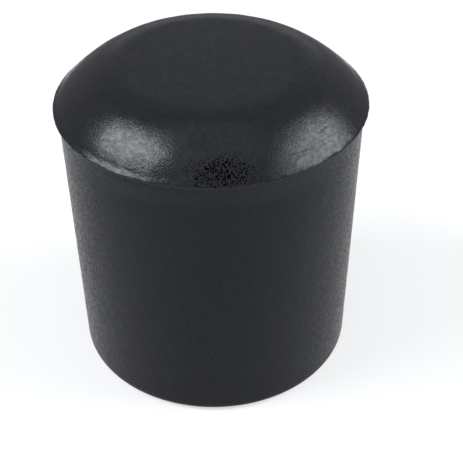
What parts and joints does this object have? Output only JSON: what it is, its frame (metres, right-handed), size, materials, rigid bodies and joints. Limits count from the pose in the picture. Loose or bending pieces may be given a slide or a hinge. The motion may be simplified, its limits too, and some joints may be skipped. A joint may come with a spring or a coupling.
{
  "type": "tube end cap",
  "caption": "Round rubber cap that pushes over the end of a tube: blind socket, slightly tapered wall, thin lip, curved bevel and a flat closed face.",
  "frame": {"origin": "on the axis, in the plane of the mouth that the cap stands on", "axes": "+Z along the axis from the mouth to the closed flat face; round about +Z, so X and Y are free, and -Y is the side that faces the viewer"},
  "size_m": [0.03, 0.03, 0.0323],
  "materials": {
    "rubber": "satin"
  },
  "bodies": {
    "root": {"end_cap": "rubber"}
  },
  "joints": []
}
